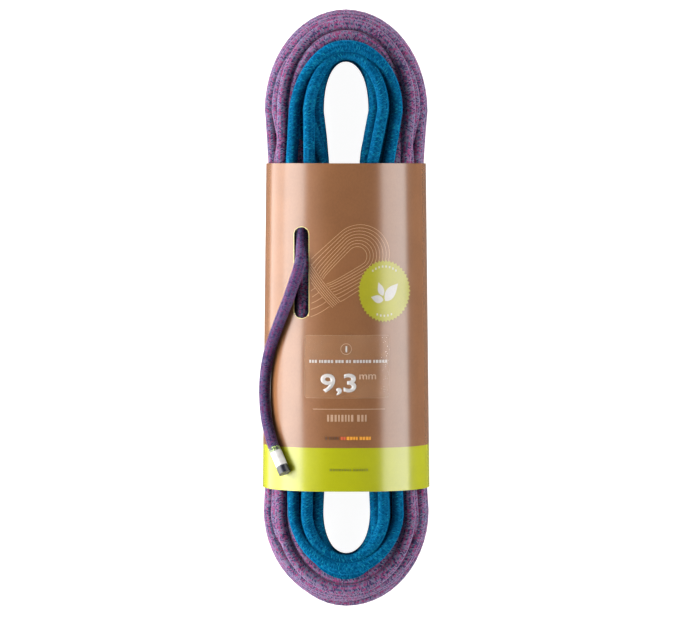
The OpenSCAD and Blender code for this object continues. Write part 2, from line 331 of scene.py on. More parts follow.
# Routes of the two free ends: out of the slot and over the left shoulder, and along the
# floor of the hank's open middle.
OUTER_ROUTE = [
    (-43.6, 112, 96.6), (-40.4, 101, 100.6), (-37.7, 90, 105.4), (-36.8, 79, 109.6),
    (-36.7, 70, 111.8),
    (-36.7, 62, 112.3), (-36.7, 55, 114.3), (-36.8, 48, 117.9), (-37.6, 41, 121.2),
    (-39.2, 34, 122.9), (-41.4, 27, 122.6), (-44.5, 18, 121.2), (-48, 8, 119),
    (-52, -2, 116.1), (-56.2, -13, 112.4), (-60.5, -25, 107.7), (-64, -37, 103),
    (-66.4, -50, 99.2), (-67.6, -64, 97.3), (-67.3, -77, 98), (-66, -90, 100.7),
    (-63.3, -102, 105.3)]
OUTER_END_START, OUTER_END_HEADING = (-59.5, -113.7, 110.6), (9.2, -20.5, 8.2)
INNER_ROUTE = [
    (17.4, 92, 6.2), (15.5, 80, 6.2), (12, 66, 6.2), (8, 52, 6.2), (4.2, 38, 6.2),
    (1.5, 24, 6.2), (0, 8, 6.2), (-0.6, -10, 6.2), (-0.4, -28, 6.2), (0, -44, 6.2)]
INNER_END_START, INNER_END_HEADING = (0, -50, 6.2), (0, -1, 0)
# Length of the wrapped end, of the tail that stays round, over which the turns flatten, and by how much
WRAPPED_LENGTH = 22.4
TAIL_RUN, FLATTEN_RUN = 315.0, 80
WIDER, FLATTER = 0.03, 0.04
INNER_TAIL_STEP, OUTER_TAIL_STEP = 6, 1.5
ROPE_SIDES = 18


def spline(points, step):
    """A smooth curve through given points, sampled every step millimetres."""
    points = np.asarray(points, dtype=float)
    ghosts = np.vstack([2 * points[0] - points[1], points, 2 * points[-1] - points[-2]])
    curve = []
    for a, b, c, d in zip(ghosts, ghosts[1:], ghosts[2:], ghosts[3:]):
        pieces = max(1, int(round(np.linalg.norm(c - b) / step)))
        for k in range(pieces):
            t = k / pieces
            curve.append(0.5 * (2 * b + (c - a) * t + (2 * a - 5 * b + 4 * c - d) * t**2
                                + (3 * b - a - 3 * c + d) * t**3))
    return np.vstack([curve, points[-1:]])


def end_tip(start, heading):
    """The very end of the rope, at the far end of its wrappings."""
    heading = np.array(heading, dtype=float)
    return np.array(start) + heading / np.linalg.norm(heading) * WRAPPED_LENGTH


def run_along(points):
    """Distance along a path at each of its points."""
    return np.concatenate([[0], np.cumsum(np.linalg.norm(np.diff(points, axis=0), axis=1))])


def rope_paths():
    """Centrelines of the blue and purple halves, each from the rope's middle to its own end."""
    wound = hank_centreline()
    run = run_along(wound)
    middle = int(np.searchsorted(run, run[-1] / 2))
    inner_tail = spline([wound[2], wound[1]] + list(INNER_ROUTE)
                        + [INNER_END_START, end_tip(INNER_END_START, INNER_END_HEADING)],
                        INNER_TAIL_STEP)
    outer_tail = spline([wound[-2], wound[-1]] + list(OUTER_ROUTE)
                        + [OUTER_END_START, end_tip(OUTER_END_START, OUTER_END_HEADING)],
                        OUTER_TAIL_STEP)
    blue = np.vstack([wound[middle:1:-1], inner_tail[1:]])
    purple = np.vstack([wound[middle:-2], outer_tail])
    return blue, purple


# ---------------------------------------------------------------- mesh helpers
def add_object(name, mesh, body=None):
    piece = bpy.data.objects.new(name, mesh)
    bpy.context.scene.collection.objects.link(piece)
    if body:
        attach(piece, body)
    return piece


def rope_tube(name, points, sides=ROPE_SIDES):
    """A tube along points, in millimetres, a little oval where the turns press on each other. Its UVs
    are metres from the free end and turns around."""
    ahead = np.gradient(points, axis=0)
    ahead /= np.linalg.norm(ahead, axis=1)[:, None]
    across = np.cross(ahead, (0, 0, 1))
    across /= np.linalg.norm(across, axis=1)[:, None]
    up = np.cross(across, ahead)
    run = run_along(points)
    flat = smooth((run[-1] - TAIL_RUN - run) / FLATTEN_RUN)
    angles = 2 * math.pi * np.arange(sides) / sides
    wide = ROPE_R * (1 + WIDER * flat)[:, None, None] * np.cos(angles)[None, :, None]
    high = ROPE_R * (1 - FLATTER * flat)[:, None, None] * np.sin(angles)[None, :, None]
    verts = (points[:, None] + wide * across[:, None] + high * up[:, None]).reshape(-1, 3)
    rings = len(points)
    a = np.arange((rings - 1) * sides)
    b = (a // sides) * sides + (a + 1) % sides
    quads = np.stack([a, a + sides, b + sides, b], axis=1)
    verts = np.vstack([verts, points[:1], points[-1:]])
    first, last = rings * sides, rings * sides + 1
    k = np.arange(sides)
    start_cap = np.stack([np.full(sides, first), k, (k + 1) % sides], axis=1)
    end_cap = np.stack([np.full(sides, last), (rings - 1) * sides + (k + 1) % sides,
                        (rings - 1) * sides + k], axis=1)
    mesh = bpy.data.meshes.new(name)
    mesh.from_pydata(mm(verts).tolist(), [], quads.tolist() + start_cap.tolist() + end_cap.tolist())
    left = (run[-1] - run) * MM
    u0, v0 = left[a // sides], (a % sides) / sides
    u1, v1 = left[a // sides + 1], (a % sides + 1) / sides
    corners = np.stack([u0, v0, u1, v0, u1, v1, u0, v1], axis=1).reshape(-1)
    layer = mesh.uv_layers.new(name="along_rope")
    cap_corners = np.zeros(2 * 3 * 2 * sides)
    layer.data.foreach_set("uv", np.concatenate([corners, cap_corners]))
    mesh.polygons.foreach_set("use_smooth", np.ones(len(mesh.polygons), dtype=bool))
    return add_object(name, mesh, "rope")


def add_ropes():
    """Both halves of the rope as free cords, each replacing its CAD hank and tail."""
    blue_path, purple_path = rope_paths()
    ropes = {}
    for colour, path, side in (("blue", blue_path, "inner"), ("purple", purple_path, "outer")):
        rope = rope_tube(f"{colour}_rope", path)
        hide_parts(f"{side}_turns", f"{side}_tail")
        ropes[colour] = rope
    return ropes


# Swells of the card under the tail, (height, middle X, reach), the stretch of Y that they lie in, and a
# faint wave across the sleeve's upper half
SWELLS = ((0.30, -38, 4), (-0.34, -47, 5), (0.12, -57, 5))
SWELLS_Y, SWELLS_REACH = -48, 34
WAVE, WAVE_Y, WAVE_REACH, WAVE_LENGTHS = 0.10, 60, 60, (9, 31)


def unevenness(x, y):
    """Small swells of the card, where the rope's end lies on it below the slot."""
    ripple = sum(height * bell(x, middle, reach) for height, middle, reach in SWELLS)
    wave = WAVE * np.sin(x / WAVE_LENGTHS[0] + y / WAVE_LENGTHS[1])
    return ripple * bell(y, SWELLS_Y, SWELLS_REACH) + wave * bell(y, WAVE_Y, WAVE_REACH)


def card_ring(y, inset, sides):
    """Section of the card at height y, inset by a distance, as a ring of points."""
    a = 2 * math.pi * np.arange(sides) / sides
    front = np.sin(a) >= 0
    power = np.where(front, CROWN_POWER, BASE_POWER)
    half_h = np.where(front, CENTRE_Z, BASE_HALF_H)
    x = (sleeve_half(y) - inset) * np.sign(np.cos(a)) * np.abs(np.cos(a)) ** (2 / power)
    z = CENTRE_Z + (half_h - inset) * np.sign(np.sin(a)) * np.abs(np.sin(a)) ** (2 / power)
    z = np.maximum(inset, z) + np.where(front, unevenness(x, y) * np.abs(np.sin(a)), 0)
    return np.stack([x, np.full(sides, y), z], axis=1)


SLOT_X, SLOT_Y, SLOT_W, SLOT_LEN = -36.7, 31.1, 12.0, 75.0
SLOT_STEPS = 25
CARD_SIDES, CARD_ROWS = 224, 72
IN_SLOT_WITHIN, AT_EDGE_WITHIN, SHARP_ANGLE, CUT_PAST = 0.02, 0.01, 35, 5


def slot_outline(width, length, steps=SLOT_STEPS):
    """Points round the slot, with full-round ends."""
    radius, straight = width / 2, (length - width) / 2
    angles = np.linspace(0, math.pi, steps)
    top = np.stack([radius * np.cos(angles), straight + radius * np.sin(angles)], axis=1)
    return np.vstack([top, -top]) + (SLOT_X, SLOT_Y)


def prism(name, outline, low, high):
    """A closed upright solid over an outline."""
    count = len(outline)
    verts = [(x, y, z) for z in (low, high) for x, y in outline]
    faces = [list(reversed(range(count))), list(range(count, 2 * count))]
    faces += [(k, (k + 1) % count, count + (k + 1) % count, count + k) for k in range(count)]
    mesh = bpy.data.meshes.new(name)
    mesh.from_pydata(mm(verts).tolist(), [], faces)
    return add_object(name, mesh)


def add_sleeve():
    """The card wrap with its slot cut out; its cut edges take the second material."""
    sides = CARD_SIDES
    heights = np.linspace(SLEEVE_TOP, SLEEVE_BOTTOM, CARD_ROWS)
    rings = [card_ring(y, 0, sides) for y in heights]
    rings += [card_ring(y, CARD_T, sides) for y in heights[::-1]]
    count = len(rings)
    faces = [(r * sides + c, r * sides + (c + 1) % sides, (r + 1) % count * sides + (c + 1) % sides,
              (r + 1) % count * sides + c) for r in range(count) for c in range(sides)]
    mesh = bpy.data.meshes.new("card_wrap")
    mesh.from_pydata(mm(np.vstack(rings)).tolist(), [], faces)
    wrap = add_object("card_wrap", mesh, "wrap")
    cutter = prism("slot_cutter", slot_outline(SLOT_W, SLOT_LEN), CENTRE_Z, 2 * CENTRE_Z + CUT_PAST)
    cut = wrap.modifiers.new("slot", "BOOLEAN")
    cut.operation, cut.solver, cut.object = "DIFFERENCE", "EXACT", cutter
    shape = wrap.evaluated_get(bpy.context.evaluated_depsgraph_get())
    wrap.data = bpy.data.meshes.new_from_object(shape)
    wrap.modifiers.clear()
    bpy.data.objects.remove(cutter)
    wrap.data.name = "card_wrap"
    wrap.data.materials.clear()
    wrap.data.materials.append(card_material())
    wrap.data.materials.append(card_edge_material())
    for face in wrap.data.polygons:
        x, y, z = np.array(face.center) / MM
        past_straight = max(0.0, abs(y - SLOT_Y) - (SLOT_LEN - SLOT_W) / 2)
        in_slot = math.hypot(x - SLOT_X, past_straight) < SLOT_W / 2 + IN_SLOT_WITHIN
        at_edge = min(abs(y - SLEEVE_TOP), abs(y - SLEEVE_BOTTOM)) < AT_EDGE_WITHIN
        face.material_index = int(at_edge or (in_slot and z > CENTRE_Z))
        face.use_smooth = True
    wrap.data.set_sharp_from_angle(angle=math.radians(SHARP_ANGLE))
    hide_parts("sleeve")


# ---------------------------------------------------------------- prints on the card
PRINT_LIFT, PRINT_T = 0.03, 0.05
FILM_LIFT, FILM_T = 0.02, 0.09
STICKER_LIFT, STICKER_T = 0.04, 0.14
RIM_LIFT, RIM_T, RIM_W = 0.02, 0.12, 0.4
LABEL_X, LABEL_Y, LABEL_W, LABEL_H, LABEL_CORNER = 0.8, -46.0, 70.0, 52.0, 2.5
SEAL_X, SEAL_Y, SEAL_HALF_W, SEAL_HALF_H = 31.5, 16.0, 21.6, 25.7
# Marks on the label: left end X, base line Y, size, weight and stretch
SIZE_MARK = (-21.3, -66.4, 20.5, 0.5, 1.24)
KIND_MARK = (-1.8, -33.9, 6.8, 0.2, 1.2)
UNIT_MARK = (10.5, -56.4, 8.8, 0.02, 1.08)
KIND_RING, KIND_RING_W = (0.1, -31.5, 4.4, 4.4, 48), 0.42
LABEL_SEED, CARD_SEED = 3, 11
# Lines of print: from X, to X, middle Y and height
NAME_LINE = (-30.2, 35.2, -41.7, 2.4)
RULE = (-27.3, 32.2, -81.0, 0.5)
PRODUCT_LINE = (-15.6, 20.8, -88.4, 5.6)
SMALL_LINES = {"dark_print": (-17.2, -5.2, -105.0, 2.6), "red_print": (-4.4, -0.2, -105.0, 2.6),
               "ochre_print": (0.5, 21.6, -105.0, 2.6), "olive_print": (-13.6, 18.5, -131.1, 2.0)}


def lay_on_card(name, bm, lift, thickness, material, longest=2.2):
    """Turns flat faces drawn in the plan, in millimetres, into a thin closed layer on the card."""
    bmesh.ops.triangulate(bm, faces=bm.faces[:])
    for _ in range(5):
        long_edges = [e for e in bm.edges if e.calc_length() > longest]
        if not long_edges:
            break
        bmesh.ops.subdivide_edges(bm, edges=long_edges, cuts=1)
        bmesh.ops.triangulate(bm, faces=bm.faces[:])
    bmesh.ops.remove_doubles(bm, verts=bm.verts[:], dist=0.001)
    bm.normal_update()
    bmesh.ops.reverse_faces(bm, faces=[f for f in bm.faces if f.normal.z < 0])
    bmesh.ops.solidify(bm, geom=bm.faces[:], thickness=1.0)
    lowest = min(v.co.z for v in bm.verts)
    for v in bm.verts:
        up = lift + (thickness if v.co.z - lowest > 0.5 else 0.0)
        v.co.z = card_z(v.co.x, v.co.y) + unevenness(v.co.x, v.co.y) + up
        v.co *= MM
    bmesh.ops.recalc_face_normals(bm, faces=bm.faces[:])
    mesh = bpy.data.meshes.new(name)
    bm.to_mesh(mesh)
    bm.free()
    mesh.materials.append(material)
    return add_object(name, mesh, "wrap")


def draw_polygon(bm, outline):
    bm.faces.new([bm.verts.new((x, y, 0.0)) for x, y in outline])


def draw_bar(bm, x0, x1, y, height):
    """A bar with points along it, so that it bends with the card."""
    steps = np.linspace(x0, x1, max(2, int((x1 - x0) / 2)))
    outline = [(x, y + height / 2) for x in steps] + [(x, y - height / 2) for x in steps[::-1]]
    draw_polygon(bm, outline[::-1])


def draw_line(bm, points, width):
    """A ribbon along points; the last point may repeat the first."""
    points = np.asarray(points, dtype=float)
    ahead = np.gradient(points, axis=0)
    if np.allclose(points[0], points[-1]):
        ahead[0] = ahead[-1] = points[1] - points[-2]
    ahead /= np.linalg.norm(ahead, axis=1)[:, None] + 1e-12
    aside = np.stack([-ahead[:, 1], ahead[:, 0]], axis=1) * width / 2
    left = [bm.verts.new((*p, 0.0)) for p in points + aside]
    right = [bm.verts.new((*p, 0.0)) for p in points - aside]
    for k in range(len(points) - 1):
        bm.faces.new((left[k], right[k], right[k + 1], left[k + 1]))


def draw_ring(bm, outer, inner):
    """The closed band between two outlines of as many points."""
    outer, inner = ([bm.verts.new((x, y, 0.0)) for x, y in points] for points in (outer, inner))
    for k in range(len(outer)):
        bm.faces.new((outer[k - 1], inner[k - 1], inner[k], outer[k]))


def draw_text(bm, words, x, y, size, weight, stretch):
    """Digits or a unit in the built-in typeface, its left end at x and its base line at y."""
    curve = bpy.data.curves.new("mark", "FONT")
    curve.body, curve.size, curve.offset = words, size, weight
    curve.resolution_u = 4
    holder = add_object("mark", curve)
    mesh = bpy.data.meshes.new_from_object(holder.evaluated_get(bpy.context.evaluated_depsgraph_get()))
    for v in mesh.vertices:
        v.co = Vector((v.co.x * stretch + x, v.co.y + y, 0.0))
    bm.from_mesh(mesh)
    bpy.data.objects.remove(holder)
    bpy.data.curves.remove(curve)


def circle_points(x, y, rx, ry, count):
    angles = np.linspace(0, 2 * math.pi, count + 1)
    return np.stack([x + rx * np.cos(angles), y + ry * np.sin(angles)], axis=1)


def words_of_blocks(bm, x0, x1, y, height, rng, gap):
    """Stands for a line of small print: a row of plain blocks as wide as letters."""
    x = x0
    while x < x1 - 1.0:
        letter = min(rng.uniform(1.2, 2.2), x1 - x)
        draw_bar(bm, x, x + letter, y, height)
        x += letter + (gap if rng.random() > 0.16 else 2.6 * gap)


def rounded_rectangle(x, y, w, h, r):
    points = []
    for cx, cy, start in ((1, 1, 0), (-1, 1, 90), (-1, -1, 180), (1, -1, 270)):
        for a in np.radians(np.linspace(start, start + 90, 7)):
            points.append((x + cx * (w / 2 - r) + r * math.cos(a),
                           y + cy * (h / 2 - r) + r * math.sin(a)))
    return points


def grid_panel(bm, outline_x, outline_y, steps):
    """Fills an outline given by matching upper and lower edges with narrow upright strips."""
    for k in range(steps):
        x0, x1 = outline_x[k], outline_x[k + 1]
        top0, top1 = outline_y[0][k], outline_y[0][k + 1]
        low0, low1 = outline_y[1][k], outline_y[1][k + 1]
        draw_polygon(bm, [(x0, low0), (x1, low1), (x1, top1), (x0, top0)])


def add_size_label(white, faint):
    """The clear film with the size mark, the kind-of-rope mark and a stand-in for the name."""
    bm = bmesh.new()
    xs = np.linspace(-LABEL_W / 2, LABEL_W / 2, 61)
    inset = np.maximum(0, np.abs(xs) - (LABEL_W / 2 - LABEL_CORNER))
    half = LABEL_H / 2 - LABEL_CORNER + np.sqrt(np.maximum(0, LABEL_CORNER**2 - inset**2))
    grid_panel(bm, xs + LABEL_X, (LABEL_Y + half, LABEL_Y - half), 60)
    film = lay_on_card("label_film", bm, FILM_LIFT, FILM_T, film_material())
    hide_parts("size_label")
    above = FILM_LIFT + FILM_T + 0.01
    bm = bmesh.new()
    draw_text(bm, "9,3", *SIZE_MARK)
    words_of_blocks(bm, *NAME_LINE, random.Random(LABEL_SEED), 0.7)
    draw_text(bm, "1", *KIND_MARK)
    lay_on_card("size_mark", bm, above, PRINT_T, white)
    bm = bmesh.new()
    draw_text(bm, "mm", *UNIT_MARK)
    draw_line(bm, circle_points(*KIND_RING), KIND_RING_W)
    draw_ring(bm, rounded_rectangle(LABEL_X, LABEL_Y, LABEL_W - 0.3, LABEL_H - 0.3, LABEL_CORNER),
              rounded_rectangle(LABEL_X, LABEL_Y, LABEL_W - 0.6, LABEL_H - 0.6, LABEL_CORNER - 0.15))
    lay_on_card("label_lines", bm, above, PRINT_T, faint)


def add_card_prints(faint, dark, red, ochre, olive):
    """Plain stand-ins for the lines of print below the label."""
    rng = random.Random(CARD_SEED)
    bm = bmesh.new()
    draw_bar(bm, *RULE)
    words_of_blocks(bm, *PRODUCT_LINE, rng, 1.2)
    lay_on_card("rule_and_line", bm, PRINT_LIFT, PRINT_T, faint)
    for (name, line), ink in zip(SMALL_LINES.items(), (dark, red, ochre, olive)):
        bm = bmesh.new()
        words_of_blocks(bm, *line, rng, 0.6)
        lay_on_card(name, bm, PRINT_LIFT, PRINT_T, ink)


DRAWN_W = 0.32


def drawn_hank():
    """Lines of a small drawing of a rope hank: loops above a wrapped middle and bights below it."""
    lines = []
    half, widest, spacing, arc_at = 20.8, 24.0, 2.3, 37.0
    for k in range(8):
        h = widest - spacing * k
        at_wrap = 0.87 - 0.08 * k
        reach = arc_at * (1 - 0.012 * k)
        angles = np.linspace(-math.pi / 2, math.pi / 2, 25)
        arc = [(reach + h * math.cos(a), h * math.sin(a)) for a in angles]
        start = [(reach * t, -h * (at_wrap + (1 - at_wrap) * t ** 0.7)) for t in np.linspace(0, 1, 14)]
        back = [(p[0], -p[1]) for p in start[::-1]]
        lines.append(start[:-1] + arc + back[1:])
    for k in range(6):
        lines.append([(-1.6 * k - 1.2 * (1 - (b / half) ** 2), b) for b in np.linspace(-half, half, 21)])
    for k in range(9):
        b = half - 0.8 - 4.8 * k
        length = 21 + 3.5 * math.sin(1.7 * k)
        lines.append([(-9.5 - length * t, b + 5.0 * t * t) for t in np.linspace(0, 1, 12)])
        if k % 2 == 0 and k < 8:
            angles = np.linspace(0, math.pi, 9)
            end_a, end_b = lines[-1][-1]
            lines.append([(end_a - 2.4 * math.sin(a), end_b - 2.4 + 2.4 * math.cos(a))
                          for a in angles])
    return lines


def add_line_drawing(ink):
    bm = bmesh.new()
    turn, foot = math.radians(38), np.array((-17.5, 23.9))
    along = np.array((math.cos(turn), math.sin(turn)))
    aside = np.array((-math.sin(turn), math.cos(turn)))
    for line in drawn_hank():
        placed = np.array([foot + a * along + b * aside for a, b in line])
        beside_slot = placed[:, 0] > SLOT_X + SLOT_W / 2 + 1.0
        clear = beside_slot | (placed[:, 1] < SLOT_Y - SLOT_LEN / 2 - 1.5)
        runs = np.split(np.arange(len(placed)), np.where(np.diff(clear.astype(int)) != 0)[0] + 1)
        for part in runs:
            if clear[part[0]] and len(part) > 2:
                draw_line(bm, placed[part], DRAWN_W)
    lay_on_card("line_drawing", bm, PRINT_LIFT, PRINT_T, ink)


def add_slot_rim(ink):
    """The card's pale cut edge, which curls up a little round the slot."""
    bm = bmesh.new()
    draw_ring(bm, slot_outline(SLOT_W + 2 * RIM_W, SLOT_LEN + 2 * RIM_W), slot_outline(SLOT_W, SLOT_LEN))
    lay_on_card("slot_rim", bm, RIM_LIFT, RIM_T, ink)


def leaf(x, y, length, width, turn):
    """Outline of a leaf from its stalk, with a slight bend."""
    t = np.linspace(0, 1, 14)
    upper = [(length * s, width * (math.sin(math.pi * s**0.8) * 0.5)) for s in t]
    lower = [(length * s, -width * (math.sin(math.pi * s**0.75) * 0.42)) for s in t[::-1][1:-1]]
    c, s = math.cos(turn), math.sin(turn)
    return [(x + (a * c - b * s) * SEAL_HALF_W / SEAL_HALF_H, y + a * s + b * c)
            for a, b in upper + lower]


TEETH, SEAL_RINGS, TOOTH_DEPTH, STALK = 46, 14, 0.065, (0.6, -8.0)
# The leaves: foot from the stalk, length, width and turn; and the blocks round them: middle angle,
# spread and count, on a ring of a share of the seal's size
LEAVES = ((0.0, 0.0, 19.0, 10.0, 48), (-1.4, 0.6, 12.5, 7.0, 168), (-1.6, 4.2, 12.0, 6.4, 112))
BLOCK_ARCS, BLOCK_RING, BLOCK_HALF_W, BLOCK_H = ((90, 34, 8), (270, 20, 5)), 0.79, 0.6, 1.7


def add_seal(lime, white):
    """The round sticker with a serrated edge, three plain leaves and blocks in place of words."""
    teeth, rings = TEETH, SEAL_RINGS
    bm = bmesh.new()
    centre = bm.verts.new((SEAL_X, SEAL_Y, 0.0))
    previous = None
    for k in range(1, rings + 1):
        share = k / rings
        ring = []
        for n in range(2 * teeth):
            a = math.pi * n / teeth
            bite = 1 - (TOOTH_DEPTH if n % 2 and k == rings else 0.0)
            ring.append(bm.verts.new((SEAL_X + SEAL_HALF_W * share * bite * math.cos(a),
                                      SEAL_Y + SEAL_HALF_H * share * bite * math.sin(a), 0.0)))
        for n in range(2 * teeth):
            m = (n + 1) % (2 * teeth)
            if previous is None:
                bm.faces.new((centre, ring[n], ring[m]))
            else:
                bm.faces.new((previous[n], ring[n], ring[m], previous[m]))
        previous = ring
    seal = lay_on_card("serrated_seal", bm, STICKER_LIFT, STICKER_T, lime,
                       longest=6.0)
    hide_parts("seal_sticker")
    bm = bmesh.new()
    stalk_x, stalk_y = SEAL_X + STALK[0], SEAL_Y + STALK[1]
    for dx, dy, length, width, turn in LEAVES:
        draw_polygon(bm, leaf(stalk_x + dx, stalk_y + dy, length, width, math.radians(turn)))
    for centre_angle, spread, count in BLOCK_ARCS:
        for a in np.radians(np.linspace(centre_angle - spread, centre_angle + spread, count)):
            x = SEAL_X + SEAL_HALF_W * BLOCK_RING * math.cos(a)
            y = SEAL_Y + SEAL_HALF_H * BLOCK_RING * math.sin(a)
            draw_bar(bm, x - BLOCK_HALF_W, x + BLOCK_HALF_W, y, BLOCK_H)
    above = STICKER_LIFT + STICKER_T + 0.01
    lay_on_card("seal_leaves", bm, above, PRINT_T, white)


# ---------------------------------------------------------------- materials
class Graph:
    """A material's node tree, with short names for the nodes used here."""

    def __init__(self, name):
        self.material = bpy.data.materials.new(name)
        self.material.use_nodes = True
        self.tree = self.material.node_tree
        self.shader = self.tree.nodes["Principled BSDF"]

    def node(self, kind, inputs=(), **settings):
        node = self.tree.nodes.new(kind)
        for key, value in settings.items():
            setattr(node, key, value)
        for key, value in dict(inputs).items():
            self.put(value, node.inputs[key])
        return node

    def put(self, value, socket):
        if isinstance(value, bpy.types.NodeSocket):
            self.tree.links.new(value, socket)
        else:
            socket.default_value = value

    def set(self, **values):
        """Values or links for the shader's own sockets, underscores standing for spaces."""
        for key, value in values.items():
            self.put(value, self.shader.inputs[key.replace("_", " ")])
        return self.material

    def math(self, operation, a, b=0.0, c=0.0):
        return self.node("ShaderNodeMath", {0: a, 1: b, 2: c}, operation=operation).outputs[0]

    def mix(self, share, a, b):
        node = self.node("ShaderNodeMix", data_type="RGBA")
        for value, socket in ((share, 0), (a, 6), (b, 7)):
            self.put(value, node.inputs[socket])
        return node.outputs[2]

    def choose(self, share, a, b):
        node = self.node("ShaderNodeMix", data_type="FLOAT")
        for value, socket in ((share, 0), (a, 2), (b, 3)):
            self.put(value, node.inputs[socket])
        return node.outputs[0]

    def ramp(self, value, stops, constant=False):
        node = self.node("ShaderNodeValToRGB", {0: value})
        ramp = node.color_ramp
        ramp.interpolation = "CONSTANT" if constant else "LINEAR"
        while len(ramp.elements) < len(stops):
            ramp.elements.new(0.5)
        for element, (place, colour) in zip(ramp.elements, stops):
            element.position, element.color = place, colour
        return node.outputs[0]

    def coordinates(self, stretch=(1.0, 1.0, 1.0)):
        place = self.node("ShaderNodeTexCoord").outputs["Object"]
        return self.node("ShaderNodeVectorMath", {0: place, 1: stretch}, operation="MULTIPLY").outputs[0]

    def noise(self, scale, detail=2.0, stretch=(1.0, 1.0, 1.0)):
        return self.node("ShaderNodeTexNoise", {"Vector": self.coordinates(stretch), "Scale": scale,
                                                "Detail": detail}).outputs[0]

    def bump(self, height, strength, distance):
        return self.node("ShaderNodeBump", {"Height": height, "Strength": strength,
                                            "Distance": distance}).outputs[0]


def srgb(*values):
    """An sRGB colour of 0-255 in the linear values that sockets take."""
    return (*(((v / 255 + 0.055) / 1.055) ** 2.4 if v > 10 else v / 255 / 12.92 for v in values), 1.0)


# Yarns each way round the sheath, metres from yarn to yarn along it, filaments across a yarn, stretches
# of one colour in a metre of yarn, and where the tail's darker tone fades out
CARRIERS = 16.0
PICK = 0.00105
FILAMENTS = 3
STRETCHES_PER_METRE = 260.0
END_TONE_FROM, END_TONE_TO = 0.30, 0.36


def sheath_material(name, right_yarns, left_yarns, fleck_and_shade_colour, end_tone, speckle, sheen_tint):
    """A braided sheath: two-over-two yarns that make chevrons along the rope, each yarn with its own
    colour, painted shade at its edges, filaments along it, and a fuzz that lights up at the edges."""
    g = Graph(name)
    uv = g.node("ShaderNodeSeparateXYZ", {0: g.node("ShaderNodeUVMap", uv_map="along_rope").outputs[0]})
    along = g.math("DIVIDE", uv.outputs[0], PICK)
    around = g.math("MULTIPLY", uv.outputs[1], CARRIERS)
    right, left = g.math("ADD", around, along), g.math("SUBTRACT", around, along)
    i, j = g.math("FLOOR", right), g.math("FLOOR", left)
    twill = g.math("FLOORED_MODULO", g.math("ADD", i, j), 4.0)
    right_on_top = g.math("LESS_THAN", twill, 1.5)
    across = g.choose(right_on_top, g.math("FRACT", left), g.math("FRACT", right))
    carrier = g.choose(right_on_top, g.math("ADD", g.math("FLOORED_MODULO", j, CARRIERS), 40.0),
                       g.math("FLOORED_MODULO", i, CARRIERS))
    stretch_of_yarn = g.math("FLOOR", g.math("MULTIPLY", uv.outputs[0], STRETCHES_PER_METRE))
    yarn_id = g.node("ShaderNodeCombineXYZ", {0: carrier, 1: stretch_of_yarn}).outputs[0]
    pick = g.node("ShaderNodeTexWhiteNoise", {"Vector": yarn_id}, noise_dimensions="3D").outputs[0]
    colour = g.mix(right_on_top, g.ramp(pick, left_yarns, True), g.ramp(pick, right_yarns, True))
    cell_id = g.node("ShaderNodeCombineXYZ", {0: i, 1: j}).outputs[0]
    fleck = g.node("ShaderNodeTexWhiteNoise", {"Vector": cell_id}).outputs[0]
    colour = g.mix(g.math("MULTIPLY", fleck, speckle), colour, fleck_and_shade_colour)
    bulge = g.math("MULTIPLY", g.math("MULTIPLY", across, g.math("SUBTRACT", 1.0, across)), 4.0)
    filaments = g.math("ABSOLUTE", g.math("SINE", g.math("MULTIPLY", across, FILAMENTS * math.pi)))
    # Painted shade: each yarn darkens towards the shade colour at its edges, where it dips into the
    # grooves between yarns.
    shade = g.math("MINIMUM", g.math("MULTIPLY", bulge, 1.7), 1.0)
    colour = g.mix(shade, fleck_and_shade_colour, colour)
    near_end = g.math("SUBTRACT", 1.0, g.node(
        "ShaderNodeMapRange", {0: uv.outputs[0], 1: END_TONE_FROM, 2: END_TONE_TO}).outputs[0])
    colour = g.mix(g.math("MULTIPLY", near_end, end_tone[1]), colour, end_tone[0])
    height = g.math("ADD", g.math("POWER", bulge, 0.5), g.math("MULTIPLY", filaments, 0.2))
    g.shader.inputs["Roughness"].default_value = 0.75
    g.shader.inputs["Specular IOR Level"].default_value = 0.0
    g.shader.inputs["Sheen Weight"].default_value = 0.35
    g.shader.inputs["Sheen Roughness"].default_value = 0.35
    g.shader.inputs["Sheen Tint"].default_value = sheen_tint
    return g.set(Base_Color=colour, Normal=g.bump(height, 0.7, 0.0004))


def purple_sheath_material():
    return sheath_material(
        "purple_sheath",
        [(0.0, srgb(125, 54, 93)), (0.32, srgb(104, 94, 118)), (0.66, srgb(125, 77, 114)),
         (0.86, srgb(65, 45, 80))],
        [(0.0, srgb(61, 71, 97)), (0.34, srgb(100, 98, 124)), (0.62, srgb(43, 47, 74)),
         (0.84, srgb(114, 66, 99))],
        # The first dark colour darkens random flecks and is the painted shade at the yarns' edges.
        srgb(38, 22, 42), (srgb(34, 24, 62), 0.5), 0.25, srgb(226, 190, 222))


def blue_sheath_material():
    return sheath_material(
        "blue_sheath",
        [(0.0, srgb(6, 74, 110)), (0.5, srgb(12, 88, 127))],
        [(0.0, srgb(3, 60, 94)), (0.45, srgb(8, 79, 114)), (0.8, srgb(18, 106, 132))],
        # The first dark colour darkens random flecks and is the painted shade at the yarns' edges.
        srgb(0, 34, 58), (srgb(0, 72, 108), 0.0), 0.4, srgb(0, 120, 180))


# Metres, as the shader sees it
LIME_EDGE_Y = -0.1130


def coated(g, colour, height, roughness=0.24):
    """A printed, varnished card or film surface."""
    g.shader.inputs["Roughness"].default_value = 0.6
    g.shader.inputs["Specular IOR Level"].default_value = 0.0
    g.shader.inputs["Coat Weight"].default_value = 1.0
    g.shader.inputs["Coat IOR"].default_value = 1.5
    g.shader.inputs["Coat Roughness"].default_value = roughness
    return g.set(Base_Color=colour, Normal=g.bump(height, 0.4, 0.00003))


def card_fibres(g):
    """Fine fibres and mottling of kraft card, around 0.5."""
    fibres = g.noise(700.0, 5.0, (1.0, 0.7, 1.0))
    clouds = g.noise(35.0, 4.0)
    return g.math("MULTIPLY_ADD", fibres, 0.5, g.math("MULTIPLY", clouds, 0.5))


